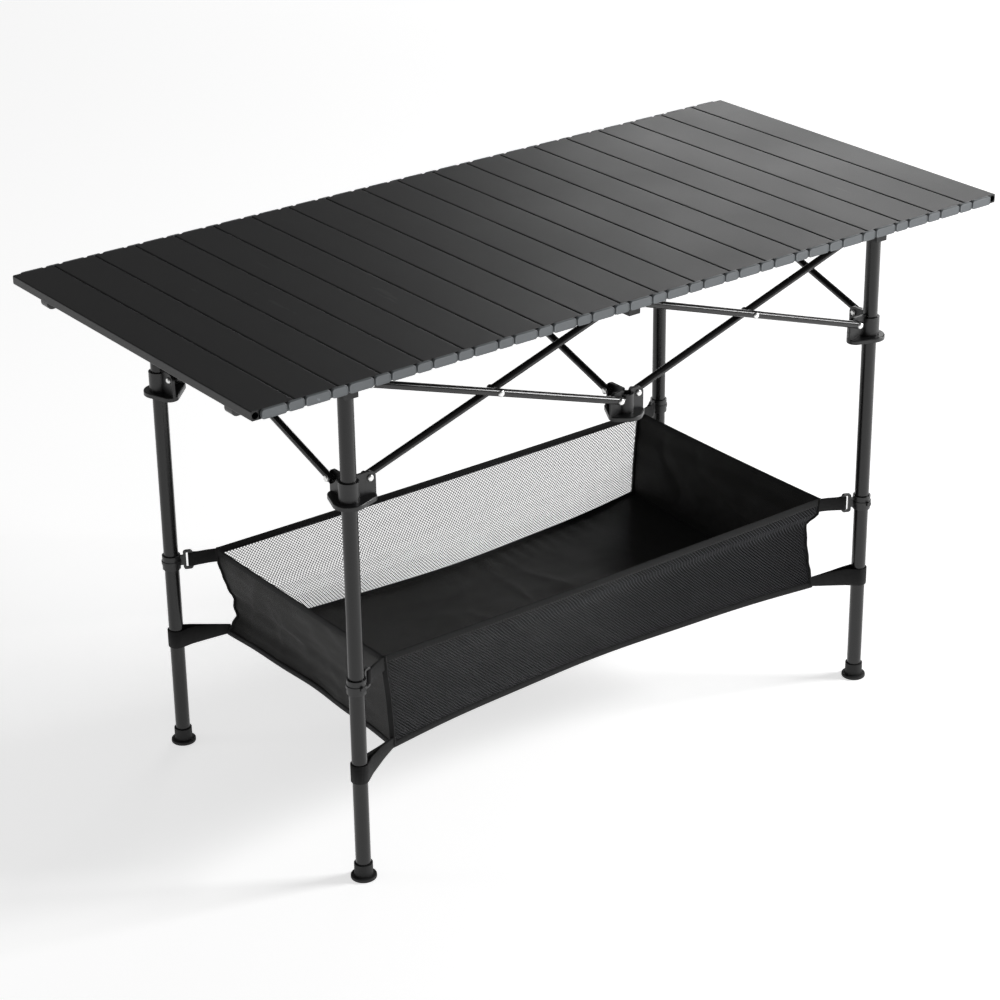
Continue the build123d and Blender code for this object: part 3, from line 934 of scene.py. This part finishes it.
class CAMPTABLE_OT_caps(bpy.types.Operator):
    """End caps and links along both edges of the top"""

    bl_idname = "camptable.caps"
    bl_label = "Caps and links"

    def execute(self, context):
        settings = context.scene.camp_table_top
        plastic = coat_material("Cap plastic", settings.cap_colour, 0.46, 0.0006, 0.00005, scuffs=0.2)
        tree = row_of_caps_tree(plastic)
        reach = slats_high.y
        depth = caps_high.y - reach
        for name, width, count, node in (
            ("slat_caps", settings.cap_width, settings.slat_count, "slat_end_caps"),
            ("edge_links", settings.link_width, settings.slat_count - 1, "slat_links"),
        ):
            cap = self.make_cap(name, width, settings.cap_height, depth, settings.cap_round)
            middle = (slats_low.z + slats_high.z) / 2
            grow(cap, tree, {"Count": count, "Pitch": settings.slat_pitch, "Half width": reach, "Height": middle})
            set_tight_edges(cap, 35)
            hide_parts(node)
            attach(cap, "tabletop")
        return {"FINISHED"}

    def make_cap(self, name, width, height, depth, corner):
        """One cap seen from the front: a rounded face with a softened rim and a short plug behind it."""
        steps = 5
        outline = []
        for turn, (side_x, side_z) in enumerate(((1, 1), (-1, 1), (-1, -1), (1, -1))):
            for step in range(steps + 1):
                angle = (turn + step / steps) * pi / 2
                x = side_x * (width / 2 - corner) + corner * cos(angle)
                z = side_z * (height / 2 - corner) + corner * sin(angle)
                outline.append((x, z))
        soft = 0.9 * MM
        plug = 12 * MM
        rings = [
            (plug, -2.0 * MM),
            (0, -2.0 * MM),
            (0, 0),
            (-depth + soft, 0),
            (-depth + soft * 0.3, -soft * 0.3),
            (-depth, -soft),
            (-depth + 0.35 * MM, -soft - 0.7 * MM),
            (-depth + 0.35 * MM, -soft - 1.4 * MM),
        ]
        vertices, faces = [], []
        for y, grow_by in rings:
            for x, z in outline:
                scale_x = 1 + 2 * grow_by / width
                scale_z = 1 + 2 * grow_by / height
                vertices.append((x * scale_x, y, z * scale_z))
        size = len(outline)
        for ring in range(len(rings) - 1):
            for step in range(size):
                a = ring * size + step
                b = ring * size + (step + 1) % size
                faces.append((a, b, b + size, a + size))
        faces.append(tuple(range(size)))
        last = (len(rings) - 1) * size
        faces.append(tuple(reversed(range(last, last + size))))
        cap = make_object(name, vertices, faces)
        turn_outwards(cap)
        return cap


class CAMPTABLE_OT_basket_cloth(bpy.types.Operator):
    """Floor and end walls of the basket, of coated cloth"""

    bl_idname = "camptable.basket_cloth"
    bl_label = "Basket cloth"

    def execute(self, context):
        settings = context.scene.camp_table_basket
        cloth = cloth_material(settings.cloth_colour)
        depth = settings.wrinkle_depth
        tall = basket_high.z - basket_low.z
        long_side, short_side = 2 * basket_high.x, 2 * basket_high.y
        pieces = []
        for name, side in (("left_end_wall", -1), ("right_end_wall", 1)):
            first, second = ((side, 1), (side, -1)) if side < 0 else ((side, -1), (side, 1))
            wall = patch(
                name,
                rim_line(first, second),
                low_line(first, second, settings.end_bow),
                seam_line(first),
                seam_line(second),
                72,
                40,
                soft_folds(3.1 if side < 0 else 7.7, 1.5 * depth, 3.2, 1.9, 1.6),
                short_side,
                tall,
            )
            pieces.append((wall, (short_side, tall), "hung"))
        floor = patch(
            "basket_floor",
            low_line((-1, 1), (1, 1), settings.side_bow),
            low_line((-1, -1), (1, -1), settings.side_bow),
            low_line((-1, 1), (-1, -1), settings.end_bow),
            low_line((1, 1), (1, -1), settings.end_bow),
            150,
            80,
            self.floor_lift(settings),
            long_side,
            short_side,
        )
        pieces.append((floor, (long_side, short_side), "stretched"))
        for piece, flat, held in pieces:
            thicken(piece, settings.cloth_thickness)
            wear(piece, cloth)
            hang(piece)
        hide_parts("basket_fabric")
        return {"FINISHED"}

    def floor_lift(self, settings):
        """Hollow of the floor, with long shallow creases and short puckers along its seams."""
        folds = soft_folds(1.4, settings.wrinkle_depth, 5.5, 3.4, 0.9)

        def lift(u, v):
            sag = settings.floor_sag * (16 * u * (1 - u) * v * (1 - v)) ** 0.7
            rim = min(u * 2, 2 - u * 2, v, 1 - v)
            pucker = sin(2 * pi * (19 * u + 1.6 * sin(9 * u))) * max(0, 1 - rim / 0.16) * min(1, rim / 0.03)
            return folds(u, v) * 0.8 - sag + 0.9 * MM * pucker

        return lift


class CAMPTABLE_OT_basket_net(bpy.types.Operator):
    """Front and back walls of the basket, of open net"""

    bl_idname = "camptable.basket_net"
    bl_label = "Basket net"

    def execute(self, context):
        settings = context.scene.camp_table_basket
        strand = strand_material("Net strand", settings.net_colour)
        tree = net_tree(strand)
        tall = basket_high.z - basket_low.z
        long_side = 2 * basket_high.x
        for name, side in (("front_net", -1), ("back_net", 1)):
            first, second = ((-1, -1), (1, -1)) if side < 0 else ((1, 1), (-1, 1))
            net = patch(
                name,
                rim_line(first, second),
                low_line(first, second, settings.side_bow),
                seam_line(first),
                seam_line(second),
                96,
                24,
                soft_folds(5.2 + side, settings.wrinkle_depth * 0.7, 4.0, 1.2, 0.5),
                1.0,
                1.0,
            )
            threads = {"Cell": settings.net_cell, "Strand": settings.net_strand}
            grow(net, tree, {"Width": long_side, "Height": tall, **threads})
            net.data.shade_smooth()
            hang(net)
            if side < 0:
                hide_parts("basket_net")
        return {"FINISHED"}


class CAMPTABLE_OT_basket_tape(bpy.types.Operator):
    """Binding, seam tapes and stitches of the basket"""

    bl_idname = "camptable.basket_tape"
    bl_label = "Basket binding and seams"

    def execute(self, context):
        settings = context.scene.camp_table_basket
        tape = tape_material("Binding tape", settings.tape_colour, 0.0013)
        thread = strand_material("Thread", settings.thread_colour)
        order = [(-1, -1), (1, -1), (1, 1), (-1, 1)]
        rim_path, low_path = [], []
        for index, first in enumerate(order):
            second = order[(index + 1) % 4]
            bow = settings.side_bow if first[1] == second[1] else settings.end_bow
            steps = 60 if first[1] == second[1] else 34
            upper, lower = rim_line(first, second), low_line(first, second, bow)
            rim_path += [upper(step / steps) for step in range(steps)]
            low_path += [lower(step / steps) for step in range(steps)]
        drop = upwards(settings.binding_width / 2 - 1.2 * MM)
        pieces = [
            sweep("rim_binding", [p - drop for p in rim_path], tape_section(2.6 * MM, settings.binding_width), True),
            sweep("floor_seam", low_path, tape_section(3.6 * MM, 9 * MM), True),
        ]
        for side_x, side_y in order:
            seam = seam_line((side_x, side_y))
            path = [seam(step / 24) for step in range(25)]
            outwards = Vector((side_x, side_y, 0)).normalized()
            name = f"seam_tape_{'left' if side_x < 0 else 'right'}_{'front' if side_y < 0 else 'back'}"
            pieces.append(sweep(name, path, tape_section(7.0 * MM, 2.6 * MM), False, up=outwards))
        for piece in pieces:
            finish_tape(piece, tape)
            hang(piece)
        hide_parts("basket_webbing")
        self.sew(settings, thread, rim_path)
        return {"FINISHED"}

    def sew(self, settings, thread, rim_path):
        """Stitches along the lower edge of the rim binding, on its outer face."""
        below = upwards(settings.binding_width - 3.2 * MM)
        points = []
        for point in rim_path:
            out = Vector((point.x / basket_high.x, point.y / basket_high.y, 0))
            side = Vector((out.x, 0, 0)) if abs(out.x) > abs(out.y) else Vector((0, out.y, 0))
            points.append(point + side.normalized() * 1.45 * MM - below)
        edges = [(index, (index + 1) % len(points)) for index in range(len(points))]
        mesh = bpy.data.meshes.new("rim_stitches")
        mesh.from_pydata([tuple(p) for p in points], edges, [])
        stitches = bpy.data.objects.new("rim_stitches", mesh)
        bpy.context.scene.collection.objects.link(stitches)
        grow(stitches, stitch_tree(thread), {"Spacing": settings.stitch_spacing})
        stitches.data.shade_smooth()
        hang(stitches)


class CAMPTABLE_OT_straps(bpy.types.Operator):
    """Straps from the basket's corners to the collars and legs"""

    bl_idname = "camptable.straps"
    bl_label = "Straps"

    def execute(self, context):
        settings = context.scene.camp_table_basket
        webbing = tape_material("Webbing", settings.tape_colour, 0.0018, roughness=0.8)
        for corner, (side_x, side_y) in CORNERS.items():
            axis = leg_axis(corner)
            upper = self.upper_strap(corner, axis, rim_corner(side_x, side_y))
            lower = self.lower_strap(corner, axis, low_corner(side_x, side_y))
            for strap, body in ((upper, f"{corner}_collar"), (lower, f"{corner}_leg")):
                finish_tape(strap, webbing)
                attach(strap, body)
        return {"FINISHED"}

    def upper_strap(self, corner, axis, target):
        """Strap looped round the bar of a collar's slot, its two tails sewn together at the rim."""
        bar_from, bar_to = 24.6 * MM, 29.5 * MM
        around = 3.1 * MM
        mid_z = middle_z(f"net_collar_{corner}")
        towards = Vector((target.x - axis.x, target.y - axis.y, 0))
        reach = towards.length
        towards.normalize()
        aside = Vector((-towards.y, towards.x, 0))

        def at(distance, shift, lift=0.0):
            return axis + towards * distance + aside * shift + upwards(mid_z + lift)

        def tail(side):
            ends = [at(reach + 1 * MM, side * 0.8 * MM, 1 * MM), at(reach - 12 * MM, side * 0.8 * MM, 1 * MM)]
            return [*ends, at(bar_to + 6 * MM, side * 1.2 * MM)]

        path = tail(1)
        middle = (bar_from + bar_to) / 2
        for step in range(13):
            angle = radians(60) + radians(240) * step / 12
            path.append(at(middle + (around + 0.6 * MM) * cos(angle), around * sin(angle)))
        path += reversed(tail(-1))
        return sweep(f"upper_strap_{corner}", path, tape_section(1.3 * MM, 19.5 * MM), False)

    def lower_strap(self, corner, axis, target):
        """Hook-and-loop strap wrapped round a leg, its tail lapped over itself."""
        radius = 11.2 * MM
        mid_z = webbing_low.z + (7 if corner == "front_left" else 15) * MM
        towards = Vector((target.x - axis.x, target.y - axis.y, 0))
        reach = towards.length
        heading = atan2(towards.y, towards.x)
        towards.normalize()
        meet = axis + towards * (reach + 4 * MM) + upwards(target.z + 5 * MM)
        side = Vector((-towards.y, towards.x, 0))
        start = axis + towards * (radius + 9 * MM) + upwards(mid_z + 1 * MM)
        path = [meet + side * 0.8 * MM, start.lerp(meet, 0.5) + side * 1.5 * MM, start + side * 5 * MM]
        for step in range(25):
            angle = heading + radians(62) + radians(236) * step / 24
            path.append(axis + Vector((radius * cos(angle), radius * sin(angle), mid_z)))
        path += [start - side * 5 * MM, start.lerp(meet, 0.5) - side * 1.5 * MM, meet - side * 0.8 * MM]
        heights = [0.5, 0.8, 1, *[1] * 25, 1, 0.8, 0.5]
        return sweep(f"lower_strap_{corner}", path, tape_section(1.6 * MM, 26 * MM), False, heights=heights)


class CAMPTABLE_PT_panel(bpy.types.Panel):
    """Sizes, colours and build steps of the camp table"""

    bl_idname = "CAMPTABLE_PT_panel"
    bl_label = "Camp Table"
    bl_space_type = "VIEW_3D"
    bl_region_type = "UI"
    bl_category = "Camp Table"

    def draw(self, context):
        for settings in SETTINGS:
            group = getattr(context.scene, settings)
            box = self.layout.box()
            for name in group.__annotations__:
                box.prop(group, name)
        for operator in OPERATORS:
            self.layout.operator(operator.bl_idname)


SETTINGS = {
    "camp_table_top": TopSettings,
    "camp_table_frame": FrameSettings,
    "camp_table_basket": BasketSettings,
    "camp_table_stage": StageSettings,
}
OPERATORS = (
    CAMPTABLE_OT_stage,
    CAMPTABLE_OT_frame_finish,
    CAMPTABLE_OT_slats,
    CAMPTABLE_OT_caps,
    CAMPTABLE_OT_basket_cloth,
    CAMPTABLE_OT_basket_net,
    CAMPTABLE_OT_basket_tape,
    CAMPTABLE_OT_straps,
)


def register():
    """Register the settings, operators and panel."""
    for name, group in SETTINGS.items():
        bpy.utils.register_class(group)
        setattr(bpy.types.Scene, name, bpy.props.PointerProperty(type=group))
    for item in (*OPERATORS, CAMPTABLE_PT_panel):
        bpy.utils.register_class(item)


def unregister():
    """Remove them again."""
    for item in (CAMPTABLE_PT_panel, *reversed(OPERATORS)):
        bpy.utils.unregister_class(item)
    for name, group in SETTINGS.items():
        delattr(bpy.types.Scene, name)
        bpy.utils.unregister_class(group)


def main():
    """Build the stage and every piece."""
    register()
    bpy.ops.camptable.stage()
    bpy.ops.camptable.frame_finish()
    bpy.ops.camptable.slats()
    bpy.ops.camptable.caps()
    bpy.ops.camptable.basket_cloth()
    bpy.ops.camptable.basket_net()
    bpy.ops.camptable.basket_tape()
    bpy.ops.camptable.straps()
    bpy.context.view_layer.update()


if __name__ == "__main__":
    main()
